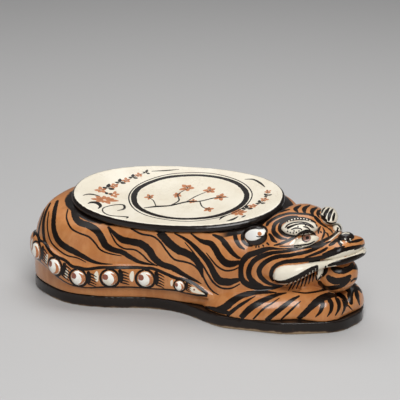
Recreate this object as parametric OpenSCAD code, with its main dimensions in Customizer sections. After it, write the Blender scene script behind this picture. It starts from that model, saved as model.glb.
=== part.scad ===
// Chinese stoneware pillow in the form of a lying tiger.
// Hollow clay body on a slab base, with a dished oval headrest on its back.
// X runs from the rump to the head, Y to the tiger's left side, Z up.
// The origin is on the underside of the base, below the middle of the headrest.

/* [Headrest] */
// Length of the oval headrest slab
headrest_len = 225; // [205:1:245]
// Width of the oval headrest slab
headrest_w = 122; // [108:1:134]
// Thickness of the headrest slab
headrest_t = 8; // [6:0.5:11]
// Height of the middle of the headrest's edge plane above the table
headrest_z = 108; // [101:1:114]
// Rise of the headrest towards the head, in degrees
headrest_rise = 1.5; // [0:0.5:4]
// Slope of the headrest down to the tiger's right side, in degrees
headrest_slope = 11; // [6:0.5:14]
// Depth of the dish in the headrest
headrest_dish = 5; // [2:0.5:7]
// Lip of the headrest beyond the wall under it
headrest_lip = 2; // [0.5:0.5:4]

/* [Body] */
// Thickness of the clay walls
wall_t = 8; // [6:0.5:10]
// Thickness of the base slab
base_t = 12; // [9:0.5:15]
// Step of the base slab beyond the wall
base_step = 1.5; // [0.5:0.5:3]
// Swelling of the walls at half height
belly = 6; // [3:0.5:9]
// Reach of the rump behind the middle of the headrest
rump_reach = 149; // [142:1:156]
// Reach of the right haunch beside the middle of the headrest
haunch_reach = 68; // [62:1:74]
// Reach of the drawn-in right waist
waist_reach = 58; // [53:1:63]
// Reach of the curved left side
back_reach = 70; // [64:1:76]
// Diameter of the vent hole in the base
vent_d = 9; // [5:0.5:14]
// Thickness of the slip between luted pieces
slip = 0.2; // [0.1:0.05:0.3]

/* [Head] */
// Turn of the head to the tiger's right, in degrees
head_turn = 27; // [20:1:34]
// Place of the brow line along the body
head_x = 151; // [145:1:157]
// Place of the brow line across the body
head_y = -25; // [-32:1:-18]
// Half width across the cheeks
cheek_half = 61; // [56:1:65]
// Height of the forehead
crown_z = 109; // [104:1:113]
// Height of the underside of the cheeks
cheek_z = 34; // [31:1:38]
// Reach of the muzzle ahead of the brow line
muzzle_reach = 50; // [44:1:54]
// Half width of the muzzle
muzzle_half = 25; // [21:1:29]
// Height of the top of the muzzle
muzzle_z = 95; // [90:1:100]
// Height of the upper lip at the front
lip_z = 73; // [69:1:77]
// Radius of the chin
chin_r = 20.5; // [18:0.5:22]
// Thickness of the clay of the head
head_t = 9; // [7:0.5:12]

/* [Face] */
// Length of an ear
ear_len = 33; // [27:1:38]
// Width of an ear
ear_w = 24; // [19:1:27]
// Length of a brow
brow_len = 36; // [30:1:42]
// Width of a brow
brow_w = 18; // [14:1:21]
// Diameter of an eyeball
eye_d = 14; // [12:0.5:17]
// Width of the nose
nose_w = 19; // [15:1:22]
// Diameter of a nostril
nostril_d = 3; // [2:0.5:4]
// Radius of the lip at the corner of the mouth
lip_corner_r = 10; // [8:0.5:11]
// Radius of the lip at the front
lip_front_r = 3; // [2.5:0.25:4.5]
// Length of a fang
fang_len = 17; // [13:1:19]
// Diameter of a fang at its root
fang_d = 8; // [6:0.5:9]

/* [Legs and tail] */
// Height of a foreleg above the table
leg_z = 37; // [35:1:41]
// Half width of a foreleg
leg_half = 26; // [22:1:28]
// Reach of the paws ahead of the brow line
paw_reach = 46; // [40:1:50]
// Half width of a paw
paw_half = 22; // [19.5:0.5:24]
// Height of a paw above the table
paw_z = 36; // [33:1:39]
// Half height of the tail roll
tail_half = 12.5; // [10:0.5:15]
// Height of the tail's middle line above the table
tail_z = 43; // [41:0.5:46]
// How far the tail stands out of the wall
tail_out = 5.5; // [4:0.5:8]
// Diameter of a round boss on the tail
boss_d = 17; // [13:0.5:20]
// How far a boss stands out of the tail
boss_out = 3.5; // [2:0.5:5]

/* [Hidden] */

ochre = "#b9713a";
black_slip = "#1d1613";
white_slip = "#e9e2d2";

// Spline through points: one stretch, a closed ring and an open run
function stretch(a, b, c, d, f) =
    0.5 * (2 * b + (c - a) * f + (2 * a - 5 * b + 4 * c - d) * f * f
    + (3 * b - a - 3 * c + d) * f * f * f);
function on_ring(p, u) =
    let (n = len(p), x = u * n, i = floor(x), k = (i % n + n) % n)
    stretch(p[(k + n - 1) % n], p[k], p[(k + 1) % n], p[(k + 2) % n], x - i);
function on_run(p, s) =
    let (n = len(p) - 1, x = min(max(s, 0), 1) * n, i = min(floor(x), n - 1))
    stretch(p[max(i - 1, 0)], p[i], p[i + 1], p[min(i + 2, n)], x - i);
function unit(v) = v / norm(v);

// Head frame: forward, left and up from the middle of the brow line
forward = [cos(head_turn), -sin(head_turn)];
leftward = [sin(head_turn), cos(head_turn)];
function from_head(f, l) = [head_x, head_y] + f * forward + l * leftward;

// Outline of the body on the base, from the chest round the left side
left_side = [[60, back_reach], [0, back_reach], [-60, back_reach - 3], [-112, back_reach - 19]];
right_side = [[-108, 5 - haunch_reach], [-64, -haunch_reach], [-14, -waist_reach], [26, -waist_reach - 3]];
rump = [[9 - rump_reach, 18], [-rump_reach, -26]];
chest = [[72, -66], [112, -60], [138, -32], [144, 4], [134, 38], [104, 61]];
body_plan = concat(chest, left_side, rump, right_side);

// Outline of the base slab, which also carries the forelegs and paws
leg_edge = 2 * leg_half + 12;
paw_set = 0.87;
paw_edge = (1 + paw_set) * paw_half + 1;
base_front = [from_head(-22, -leg_edge - 15), from_head(8, -leg_edge), from_head(31, -paw_edge),
    from_head(paw_reach + base_step, -paw_edge / 2), from_head(paw_reach + 3 * base_step, 0),
    from_head(paw_reach + base_step, paw_edge * 0.45), from_head(31, paw_edge), from_head(8, leg_edge),
    from_head(-20, leg_edge + 14)];
elbow = [[22, -waist_reach - 4], [66, -leg_edge - 20]];
base_plan = concat(elbow, base_front, [[120, back_reach - 4]], left_side, rump,
    [for (i = [0:2]) right_side[i]]);

// Oval seat of the headrest and the plane of its underside
oval_power = 2.2;
seat_a = headrest_len / 2 - headrest_lip;
seat_b = headrest_w / 2 - headrest_lip;
function oval(t, a, b) =
    let (k = pow(pow(abs(cos(t)), oval_power) + pow(abs(sin(t)), oval_power), -1 / oval_power))
    [a * cos(t) * k, b * sin(t) * k];
function rest_z(p) =
    let (x = p.x / headrest_len * 2, y = p.y / headrest_w * 2)
    headrest_z + p.x * tan(headrest_rise) + p.y * tan(headrest_slope)
    - headrest_dish * (1 - min(1, x * x + y * y * 0.5));
function under_z(p) = rest_z(p) - headrest_t;

// Body wall between its outline on the base and the oval seat
wall_power = 2.1;
rump_full = 1.3;
rings_up = 12;
steps_round = 96;
function wall_plan(u, h, out) =
    let (foot = on_ring(body_plan, u),
        t = atan2(foot.y / seat_b, foot.x / seat_a),
        seat = oval(t, seat_a, seat_b),
        behind = pow(max(0, -cos(t)), 2),
        power = wall_power + rump_full * behind,
        draw_in = pow(1 - pow(h, power), 1 / power),
        p = seat + (foot - seat) * draw_in,
        swell = belly * min(1, norm(foot) / seat_a) * (1 - behind) * sin(180 * min(1, 1.1 * h)))
    p + unit(p) * (swell + out);
function wall_point(u, h, out) =
    let (p = wall_plan(u, h, out), top = wall_plan(u, 1, out))
    [p.x, p.y, base_t + (under_z(top) - slip - base_t) * h];
function wall_column(u, out) = [for (i = [0:rings_up]) wall_point(u, i / rings_up, out)];

// Solid skinned over rings of points, closed by one point at each end
module skin(rings, first, last) {
    n = len(rings[0]);
    m = len(rings);
    polyhedron(
        points = concat([for (r = rings, p = r) p], [first, last]),
        faces = concat(
            [for (j = [0:m - 2], i = [0:n - 1]) each
                let (a = j * n + i, b = j * n + (i + 1) % n) [[a, a + n, b], [b, a + n, b + n]]],
            [for (i = [0:n - 1]) [m * n, i, (i + 1) % n]],
            [for (i = [0:n - 1]) let (k = (m - 1) * n) [m * n + 1, k + (i + 1) % n, k + i]]));
}

// Whole body form, used to cut the pieces that are luted onto it
module body_form(out) {
    rings = [for (j = [0:rings_up])
        [for (i = [0:steps_round - 1]) wall_point(i / steps_round, j / rings_up, out)]];
    skin(rings, [0, 0, base_t], [0, 0, under_z([0, 0])]);
}

// Pressed half shell of the body between two places on the outline
module half_shell(from, to) {
    n = rings_up + 1;
    m = to - from;
    profiles = [for (i = [from:to])
        let (u = i / steps_round, outer = wall_column(u, 0), inner = wall_column(u, -wall_t))
        concat(outer, [for (k = [n - 1:-1:0]) inner[k]])];
    polyhedron(
        points = [for (q = profiles, p = q) p],
        faces = concat(
            [for (j = [0:m - 1], i = [0:2 * n - 1]) each
                let (a = j * 2 * n + i, b = j * 2 * n + (i + 1) % (2 * n), s = 2 * n)
                [[a, b, a + s], [b, b + s, a + s]]],
            [for (i = [0:n - 2]) each let (a = i, b = 2 * n - 1 - i)
                [[a, b, a + 1], [a + 1, b, b - 1]]],
            [for (i = [0:n - 2]) each let (k = m * 2 * n, a = k + i, b = k + 2 * n - 1 - i)
                [[a, a + 1, b], [a + 1, b - 1, b]]]));
}

// Clay roll: rounded slices hulled in turn along a run of stations, each with a point inside the next.
// A station is [x, y, z, half width, reach up, reach down, heading].
round_power = 2.1;
function slice(half_w, up, down, sides) =
    [for (i = [0:sides - 1]) let (a = 360 * i / sides,
        k = pow(pow(abs(cos(a)), round_power) + pow(abs(sin(a)), round_power), -1 / round_power))
        [half_w * cos(a) * k, (a < 180 ? up : down) * sin(a) * k]];
function slice_ring(q, grow, sides) =
    [for (p = slice(q[3] + grow, q[4] + grow, q[5] + grow, sides))
        [q[0] - p.x * sin(q[6]), q[1] + p.x * cos(q[6]), q[2] + p.y]];
function slices_along(stations, count, grow, sides) =
    [for (i = [0:count]) slice_ring(on_run(stations, i / count), grow, sides)];
function middle(ring) = (ring[0] + ring[len(ring) / 2]) / 2;
module roll(stations, count, grow = 0, sides = 32) {
    rings = slices_along(stations, count, grow, sides);
    ends = [for (first = [0, sides]) [for (k = [0:sides - 1]) first + k]];
    to_point = [sides, sides + 1, 2 * sides];
    for (i = [0:count - 1]) {
        point = (middle(rings[i + 1]) + middle(rings[min(i + 2, count)])) / 2;
        hull()
            polyhedron(concat(rings[i], rings[i + 1], [point]), concat(ends, [to_point]));
    }
}

// Pressed pat of clay: the slices of a short, straight run in one skin
pat_steps = 10;
pat_sides = 18;
module pat(stations, grow = 0) {
    first = stations[0];
    last = stations[len(stations) - 1];
    skin(slices_along(stations, pat_steps, grow, pat_sides),
        [first[0], first[1], first[2]], [last[0], last[1], last[2]]);
}

// Run told in the head frame as [forward, out to the side, z, half width, half height].
// Side is -1 for the tiger's right and 1 for its left.
function run_place(q, side) = from_head(q[0], side * q[1]);
function run_stations(run, side) =
    [for (i = [0:len(run) - 1])
        let (q = run[i], p = run_place(q, side),
            d = run_place(run[min(i + 1, len(run) - 1)], side) - run_place(run[max(i - 1, 0)], side))
        [p.x, p.y, q[2], q[3], q[4], q[4], atan2(d.y, d.x)]];

// Space above the base slab
module above_base() {
    translate([-300, -300, base_t])
        cube([700, 600, 200]);
}

// Head: slices [forward, half width, top, height of the widest place, underside]
head_slices = [
    [-54, cheek_half - 8, crown_z - 18, cheek_z + 23, cheek_z + 5],
    [-44, cheek_half - 1, crown_z - 8, cheek_z + 23, cheek_z + 1],
    [-34, cheek_half, crown_z - 1, cheek_z + 23, cheek_z],
    [-22, cheek_half - 3, crown_z, cheek_z + 24, cheek_z],
    [-10, cheek_half - 9, crown_z - 3, cheek_z + 25, cheek_z + 1],
    [0, cheek_half - 16, crown_z - 9, cheek_z + 28, cheek_z + 8],
    [12, cheek_half - 25, muzzle_z - 4, lip_z - 3, lip_z - 13],
    [25, muzzle_half + 4, muzzle_z - 4, lip_z + 4, lip_z - 6],
    [37, muzzle_half + 1, muzzle_z - 2, lip_z + 6, lip_z - 2],
    [muzzle_reach - 5, muzzle_half - 2, muzzle_z - 2, lip_z + 9, lip_z + 1],
    [muzzle_reach - 1, muzzle_half - 9, muzzle_z - 6, lip_z + 11, lip_z + 4.5],
    [muzzle_reach + 1, muzzle_half - 18, muzzle_z - 10, lip_z + 11, lip_z + 7]];
function station(q, thin = 0) =
    let (p = from_head(q[0], 0))
    [p.x, p.y, q[3], q[1] - thin, q[2] - q[3] - thin, q[3] - q[4] - thin, -head_turn];
module head_form(grow = 0) {
    roll([for (q = head_slices) station(q)], 20, grow);
}
module head_hollow() {
    last = len(head_slices) - 4;
    roll([for (i = [0:last]) station(head_slices[i] - [head_t, 0, 0, 0, 0], head_t)], 12, 0, 24);
}

// Lower jaw: the chin's ball and the stem that carries it to the throat
chin_f = muzzle_reach - 21;
chin_mid = lip_z - 19.5;
jaw_slices = [
    [-12, cheek_half - 21, cheek_z + 13, cheek_z + 7, cheek_z + 1],
    [0, cheek_half - 25, chin_mid - 1, cheek_z + 8, cheek_z],
    [9, cheek_half - 33, chin_mid + 3, chin_mid - 8, cheek_z - 1],
    [chin_f - chin_r * 0.7, chin_r, chin_mid + 7, chin_mid - 5, chin_mid - chin_r + 2],
    [chin_f - chin_r * 0.3, chin_r, chin_mid + chin_r - 4, chin_mid, chin_mid - chin_r],
    [chin_f + chin_r * 0.2, chin_r, chin_mid + chin_r - 3, chin_mid, chin_mid - chin_r],
    [chin_f + chin_r * 0.7, chin_r * 0.75, chin_mid + chin_r * 0.6, chin_mid, chin_mid - chin_r * 0.7],
    [chin_f + chin_r, chin_r * 0.3, chin_mid + chin_r * 0.3, chin_mid, chin_mid - chin_r * 0.3]];
module jaw_form(grow = 0) {
    roll([for (q = jaw_slices) station(q)], 13, grow, 26);
}

// Forelegs and paws: [forward, out to the side, half width, height]
wrist = [[-2, 34, leg_half - 5, leg_z - 1], [12, 24, paw_half - 3, paw_z - 2]];
right_leg = concat([[-86, 69, 9, leg_z - 23], [-70, 69, leg_half - 7, leg_z - 9],
    [-47, 62, leg_half, leg_z - 1], [-21, 49, leg_half, leg_z]], wrist);
left_leg = concat([[-52, 49, 16, leg_z - 12], [-35, 50, leg_half - 3, leg_z - 2],
    [-16, 46, leg_half - 1, leg_z]], wrist);
module leg_form(run, side, grow = 0) {
    on_base = [for (q = run) [q[0], q[1], base_t, q[2], q[3] - base_t]];
    roll(run_stations(on_base, side), 13, grow, 26);
}
paw_slices = [[6, paw_half + 4, paw_z + 3], [16, paw_half + 2, paw_z + 1.5], [26, paw_half, paw_z],
    [paw_reach - 12, paw_half - 2, paw_z - 1.5], [paw_reach - 6, paw_half - 5, paw_z - 4],
    [paw_reach - 2, paw_half - 9, paw_z - 9], [paw_reach, paw_half - 12, paw_z - 15]];
module paw_form(side, grow = 0) {
    roll([for (q = paw_slices)
        let (p = from_head(q[0] - grow, side * q[1] * paw_set), high = q[2] - base_t)
        [p.x, p.y, base_t, q[1], high, high, -head_turn]], 13, grow, 26);
}

// Tail: its middle line runs round the rump and along the right haunch
tail_from = 0.575;
tail_to = 0.985;
tail_climb = [1, 3, 8, 12, -2.5, 0, 0.5, -4, -17];
tail_steps = 16;
tail_seat = 1.5;
function tail_place(s, out = tail_seat) =
    let (u = tail_from + (tail_to - tail_from) * s,
        h = (tail_z + on_run(tail_climb, s) - base_t) / (headrest_z - base_t))
    wall_point(u, h, out);
tail_taper = 0.24;
tail_root = 0.08;
function tail_size(s) = tail_half * pow(min(1, (s + 0.005) / tail_root, (1.004 - s) / tail_taper), 0.6);
function tail_way(s) = tail_place(s + 0.01) - tail_place(s - 0.01);
function tail_heading(s) =
    let (d = tail_way(s))
    atan2(d.y, d.x);
function tail_slant(s) =
    let (d = tail_way(s))
    norm(d) / norm([d.x, d.y]);
module tail_form(grow = 0) {
    roll([for (i = [0:tail_steps])
        let (s = i / tail_steps, p = tail_place(s), half = tail_size(s) * tail_slant(s))
        [p.x, p.y, p.z, min(tail_out - tail_seat, half), half, half, tail_heading(s)]], 28, grow, 16);
}
boss_places = [0.04, 0.12, 0.2, 0.345, 0.435, 0.53, 0.63, 0.732, 0.86];
boss_sink = 1.5;
module boss_form(s) {
    p = tail_place(s, tail_out - boss_sink);
    r = boss_d / 2 * pow(tail_size(s) / tail_half, 1.5);
    translate([p.x, p.y, p.z])
        rotate([0, 0, tail_heading(s)])
            scale([r, boss_out + boss_sink, r])
                sphere(1, $fn = 20);
}

// Almond run: share of the length and of the girth at each station
almond = [[-0.5, 0.08], [-0.42, 0.55], [-0.25, 0.9], [0, 1], [0.25, 0.9], [0.42, 0.55], [0.5, 0.08]];
function almond_run(mid, way, length, half_w, half_h) =
    [for (k = almond) concat(mid + way * length * k[0], [half_w * k[1], half_h * k[1]])];

// Face pieces, told for one side of the head
ear_out = 7;
ear_mid = [-39, cheek_half - 12, crown_z - 22.5];
left_ear_drop = 11;
ear_way = [0.96, 0.05, 0.28];
cheek_flare = 0.75;
function ear_run(drop) =
    almond_run(ear_mid + drop * [0, cheek_flare, -1], ear_way, ear_len, ear_out, ear_w / 2);
brow_way = unit([24, -26, 0]);
brow_high = 6.5;
brow_mid = [-2, muzzle_half - 2, crown_z - 10];
brow_run = almond_run(brow_mid, brow_way, brow_len, brow_w / 2, brow_high);
eye_mid = [7.3, muzzle_half, muzzle_z - 8.7];
eye_way = unit([16, -22, 5.5]);
eye_run = almond_run(eye_mid, eye_way, eye_d * 2, eye_d / 2 - 1.5, eye_d / 2 - 1);
lip_run = [[-13, cheek_half - 12, cheek_z + 20, 2, 3],
    [-9, cheek_half - 13, cheek_z + 21, lip_corner_r * 0.7, lip_corner_r * 0.8],
    [-2, cheek_half - 16, cheek_z + 22, lip_corner_r * 0.8, lip_corner_r],
    [8, cheek_half - 21, lip_z - 14.5, lip_corner_r * 0.7, lip_corner_r * 0.85],
    [20, muzzle_half + 6, lip_z - 8.5, lip_front_r * 1.6, lip_front_r * 1.7],
    [34, muzzle_half + 2, lip_z - 2, lip_front_r * 1.1, lip_front_r * 1.1],
    [muzzle_reach - 8, muzzle_half - 2, lip_z + 0.5, lip_front_r, lip_front_r],
    [muzzle_reach - 1.5, muzzle_half - 12, lip_z + 2, lip_front_r, lip_front_r],
    [muzzle_reach + 0.5, slip / 2, lip_z + 2.5, lip_front_r, lip_front_r]];
module lip_form(side, grow = 0) {
    roll(run_stations(lip_run, side), 16, grow, 16);
}
fang_seat = on_run(lip_run, 0.545);
fang_inset = 5.5;
fang_at = [fang_seat[0], fang_seat[1] - fang_inset];
fang_root = fang_seat[2] + 1;
fang_lean = -1;
fang_taper = 0.75;
fang_steps = 6;
fang_sides = 14;
module fang_form(side) {
    root = from_head(fang_at.x, side * fang_at.y);
    rings = [for (i = [fang_steps:-1:0])
        let (k = i / fang_steps,
            p = root + fang_lean * k * k * forward,
            r = fang_d / 2 * (1 - fang_taper * k * k))
        [for (j = [0:fang_sides - 1])
            let (a = 360 * j / fang_sides)
            [p.x + r * cos(a), p.y + r * sin(a), fang_root - fang_len * k]]];
    tip = root + fang_lean * forward;
    skin(rings, [tip.x, tip.y, fang_root - fang_len], [root.x, root.y, fang_root]);
}
nose_mid = [muzzle_reach - 11.5, muzzle_z - 5];
nose_deep = 8;
nose_high = 7.5;
nose_run = [for (k = almond)
    [nose_mid[0], nose_w * k[0], nose_mid[1], nose_deep * k[1], nose_high * k[1]]];
nostril_gap = 3.5;

// Subparts

vent_x = -40;
base_steps = 200;
module base_slab() {
    color(black_slip)
        difference() {
            linear_extrude(base_t)
                polygon([for (i = [0:base_steps - 1]) on_ring(base_plan, i / base_steps)]);
            translate([vent_x, 0, -1])
                cylinder(h = base_t + 2, d = vent_d, $fn = 48);
        }
}

front_seam = round(steps_round * 0.19);
rump_seam = round(steps_round * 0.655);
module right_body_wall() {
    color(ochre)
        half_shell(rump_seam, steps_round + front_seam);
}
module left_body_wall() {
    color(ochre)
        half_shell(front_seam, rump_seam);
}

edge_r = 2.5;
oval_steps = 60;
function slab_ring(inset, share, z_of, lift) =
    [for (i = [0:oval_steps - 1])
        let (a = (headrest_len / 2 - inset) * share, b = (headrest_w / 2 - inset) * share,
            p = oval(360 * i / oval_steps, a, b))
        [p.x, p.y, z_of(p) + lift]];
module headrest_form(grow = 0) {
    under = function(p) under_z(p);
    rest = function(p) rest_z(p);
    low = [for (k = [0.2, 0.5, 0.8, 1]) slab_ring(edge_r - grow, k, under, -grow)];
    sides = [slab_ring(-grow, 1, under, edge_r), slab_ring(-grow, 1, rest, -edge_r)];
    high = [for (k = [1, 0.9, 0.7, 0.5, 0.3]) slab_ring(edge_r - grow, k, rest, grow)];
    skin(concat(low, sides, high), [0, 0, under_z([0, 0]) - grow], [0, 0, rest_z([0, 0]) + grow]);
}
module headrest_slab() {
    color(white_slip)
        headrest_form();
}

module tail() {
    color(ochre)
        difference() {
            intersection() {
                tail_form();
                above_base();
            }
            body_form(slip);
        }
}

module tail_bosses() {
    color(white_slip)
        difference() {
            for (s = boss_places)
                hull()
                    boss_form(s);
            body_form(slip);
            tail_form(slip);
        }
}

module foreleg(run, side) {
    color(ochre)
        difference() {
            intersection() {
                leg_form(run, side);
                above_base();
            }
            body_form(slip);
            head_form(slip);
            jaw_form(slip);
            paw_form(side, slip);
            tail_form(slip);
        }
}
module right_foreleg() {
    foreleg(right_leg, -1);
}
module left_foreleg() {
    foreleg(left_leg, 1);
}

module paw(side) {
    color(ochre)
        difference() {
            intersection() {
                paw_form(side);
                above_base();
            }
            head_form(slip);
            jaw_form(slip);
            if (side > 0)
                paw_form(-side, slip);
        }
}
module right_paw() {
    paw(-1);
}
module left_paw() {
    paw(1);
}

module head() {
    color(ochre)
        difference() {
            head_form();
            head_hollow();
            body_form(slip);
            headrest_form(slip);
        }
}

module lower_jaw() {
    color(ochre)
        difference() {
            jaw_form();
            head_form(slip);
            body_form(slip);
        }
}

module nose() {
    color(black_slip)
        difference() {
            pat(run_stations(nose_run, 1));
            head_form(slip);
            for (side = [-1, 1])
                let (p = from_head(nose_mid[0] + 3, side * nostril_gap))
                    translate([p.x, p.y, nose_mid[1] - 1])
                        rotate([0, 90, -head_turn])
                            cylinder(h = nose_deep + 2, d = nostril_d, $fn = 16);
        }
}

module ear(side, drop) {
    color(white_slip)
        difference() {
            pat(run_stations(ear_run(drop), side));
            head_form(slip);
            body_form(slip);
        }
}
module right_ear() {
    ear(-1, 0);
}
module left_ear() {
    ear(1, left_ear_drop);
}

module brow_form(side, grow = 0) {
    pat(run_stations(brow_run, side), grow);
}
module brow(side) {
    color(white_slip)
        difference() {
            brow_form(side);
            head_form(slip);
        }
}
module right_brow() {
    brow(-1);
}
module left_brow() {
    brow(1);
}

module eye(side) {
    color(white_slip)
        difference() {
            pat(run_stations(eye_run, side));
            head_form(slip);
            brow_form(side, slip);
        }
}
module right_eye() {
    eye(-1);
}
module left_eye() {
    eye(1);
}

module lip(side) {
    color(white_slip)
        difference() {
            lip_form(side);
            head_form(slip);
            jaw_form(slip);
        }
}
module right_lip() {
    lip(-1);
}
module left_lip() {
    lip(1);
}

module fang(side) {
    color(white_slip)
        difference() {
            fang_form(side);
            head_form(slip);
            lip_form(side, slip);
            jaw_form(slip);
        }
}
module right_fang() {
    fang(-1);
}
module left_fang() {
    fang(1);
}

base_slab();
right_body_wall();
left_body_wall();
headrest_slab();
tail();
tail_bosses();
right_foreleg();
left_foreleg();
right_paw();
left_paw();
head();
lower_jaw();
nose();
right_ear();
left_ear();
right_brow();
left_brow();
right_eye();
left_eye();
right_lip();
left_lip();
right_fang();
left_fang();
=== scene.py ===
import math

import bmesh
import bpy
import numpy as np
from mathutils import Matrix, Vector, noise as clouds
from mathutils.bvhtree import BVHTree
from mathutils.geometry import barycentric_transform


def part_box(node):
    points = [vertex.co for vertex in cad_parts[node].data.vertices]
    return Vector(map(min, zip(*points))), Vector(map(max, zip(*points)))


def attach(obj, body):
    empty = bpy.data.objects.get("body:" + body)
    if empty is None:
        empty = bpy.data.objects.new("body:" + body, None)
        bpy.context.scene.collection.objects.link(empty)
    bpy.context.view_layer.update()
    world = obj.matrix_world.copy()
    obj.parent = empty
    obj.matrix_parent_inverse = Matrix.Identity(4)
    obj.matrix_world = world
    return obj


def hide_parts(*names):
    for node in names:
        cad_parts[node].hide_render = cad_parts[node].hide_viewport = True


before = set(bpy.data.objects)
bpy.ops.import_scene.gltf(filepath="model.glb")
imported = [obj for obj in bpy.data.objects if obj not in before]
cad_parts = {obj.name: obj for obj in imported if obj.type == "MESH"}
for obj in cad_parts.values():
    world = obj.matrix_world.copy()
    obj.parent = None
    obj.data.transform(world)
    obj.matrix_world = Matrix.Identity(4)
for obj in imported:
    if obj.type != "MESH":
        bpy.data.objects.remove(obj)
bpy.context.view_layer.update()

# Viewpoint
# The camera looks down a little at the tiger's right side, from far off, so that the form stays undistorted.
# The same lens turns a pixel of the photograph into a line of sight, along which brush marks are set down.
MM = 0.001
picture_side = 400
sensor = 36.0
lens = 162.45
view_turn = math.radians(15)
view_rise = math.radians(20)
view_distance = 1900 * MM
view_right = Vector((math.cos(view_turn), math.sin(view_turn), 0))
view_back = Vector((
    math.sin(view_turn) * math.cos(view_rise),
    -math.cos(view_turn) * math.cos(view_rise),
    math.sin(view_rise)))
view_up = view_back.cross(view_right)
aim_right = 23.47 * MM
aim_up = 93.68 * MM
view_middle = view_right * aim_right + view_up * aim_up
eye_point = view_middle + view_back * view_distance

camera_data = bpy.data.cameras.new("camera")
camera_data.lens = lens
camera_data.sensor_width = sensor
camera = bpy.data.objects.new("camera", camera_data)
bpy.context.scene.collection.objects.link(camera)
camera.location = eye_point
camera.rotation_euler = view_back.to_track_quat("Z", "Y").to_euler()
bpy.context.scene.camera = camera


def line_of_sight(pixel):
    """Direction from the camera through a pixel of the photograph."""
    across = (pixel[0] - picture_side / 2) / picture_side * sensor
    down = (pixel[1] - picture_side / 2) / picture_side * sensor
    return (view_right * across - view_up * down - view_back * lens).normalized()


# Base slab
# A flat slab of buff stoneware that the body and forelegs stand on. Its edge was dipped in black glaze,
# which stops short of the foot, so the lowest strip and the underside show bare fired clay.
class Coat:
    """A value or colour over a surface: a socket of a material, with arithmetic that adds Math nodes."""

    def __init__(self, tree, socket=None):
        self.tree = tree
        self.socket = socket

    def node(self, kind, settings=None, sockets=None, out=0):
        made = self.tree.nodes.new(kind)
        for name, value in (settings or {}).items():
            setattr(made, name, value)
        for name, value in (sockets or {}).items():
            if isinstance(value, Coat):
                self.tree.links.new(value.socket, made.inputs[name])
            else:
                made.inputs[name].default_value = value
        return Coat(self.tree, made.outputs[out])

    def maths(self, operation, *values):
        return self.node("ShaderNodeMath", {"operation": operation}, dict(enumerate(values)))

    def __add__(self, other):
        return self.maths("ADD", self, other)

    def __sub__(self, other):
        return self.maths("SUBTRACT", self, other)

    def __rsub__(self, other):
        return self.maths("SUBTRACT", other, self)

    def __mul__(self, other):
        return self.maths("MULTIPLY", self, other)

    def __truediv__(self, other):
        return self.maths("DIVIDE", self, other)

    __radd__ = __add__
    __rmul__ = __mul__

    def ramp(self, low, high):
        """0 below low, 1 above high, and a soft step between them."""
        return self.node("ShaderNodeMapRange", {"interpolation_type": "SMOOTHSTEP"},
                         {"Value": self, "From Min": low, "From Max": high})

    def between(self, first, second):
        """First colour where this mask is 0, second where it is 1."""
        colours = [part if isinstance(part, Coat) else (*part, 1) for part in (first, second)]
        return self.node("ShaderNodeMix", {"data_type": "RGBA"}, {0: self, 6: colours[0], 7: colours[1]}, 2)


def noise(ground, size, detail=3, seed=0.0, stretch=(1, 1, 1)):
    """Cloudy values about 0.5, with clouds of that size in metres."""
    place = ground.node("ShaderNodeNewGeometry")
    moved = ground.node("ShaderNodeMapping", {}, {
        "Vector": place, "Location": (seed, seed, seed), "Scale": stretch})
    return ground.node("ShaderNodeTexNoise", {}, {"Vector": moved, "Scale": 1 / size, "Detail": detail})


def axes(ground, out=0):
    """The three parts of the place on the surface, in metres, or of another geometry output."""
    whole = ground.node("ShaderNodeNewGeometry", out=out)
    return [ground.node("ShaderNodeSeparateXYZ", {}, {0: whole}, part) for part in range(3)]


glaze_ior = 1.42
clay_shine = 0.1
ripple_height = 0.4 * MM


def fired(name, paint, gloss=0.2, ripple=0.22):
    """Material of fired clay: paint returns its colour, roughness and glaze cover for the given ground."""
    material = bpy.data.materials.new(name)
    material.use_nodes = True
    tree = material.node_tree
    shader = tree.nodes["Principled BSDF"]
    ground = Coat(tree)
    colour, roughness, cover = paint(ground)
    shader.inputs["Coat Roughness"].default_value = gloss
    shader.inputs["Coat IOR"].default_value = glaze_ior
    shader.inputs["Specular IOR Level"].default_value = clay_shine
    for socket, value in (("Base Color", colour), ("Roughness", roughness), ("Coat Weight", cover)):
        if isinstance(value, Coat):
            tree.links.new(value.socket, shader.inputs[socket])
        else:
            shader.inputs[socket].default_value = value
    waves = noise(ground, 9 * MM, 2, 3.1) + noise(ground, 2.2 * MM, 2, 5.7) * 0.35
    bump = ground.node("ShaderNodeBump", {}, {"Strength": ripple, "Distance": ripple_height, "Height": waves})
    tree.links.new(bump.socket, shader.inputs["Normal"])
    return material


def evaluated(piece):
    """Puts the result of a piece's modifiers into its mesh."""
    graph = bpy.context.evaluated_depsgraph_get()
    mesh = bpy.data.meshes.new_from_object(piece.evaluated_get(graph))
    piece.modifiers.clear()
    piece.data = mesh


def islands(shell):
    """The connected groups of a mesh's points, smallest first."""
    unseen = set(shell.verts)
    skins = []
    while unseen:
        edge = [unseen.pop()]
        skin = []
        while edge:
            vert = edge.pop()
            skin.append(vert)
            for side in vert.link_edges:
                other = side.other_vert(vert)
                if other in unseen:
                    unseen.remove(other)
                    edge.append(other)
        skins.append(skin)
    return sorted(skins, key=len)


def biggest_skin(mesh):
    """Leaves only the largest connected skin of a mesh, without the walls of closed hollows."""
    shell = bmesh.new()
    shell.from_mesh(mesh)
    bmesh.ops.delete(shell, geom=[vert for skin in islands(shell)[:-1] for vert in skin], context="VERTS")
    shell.to_mesh(mesh)
    shell.free()


same_place = 0.002 * MM


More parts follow.
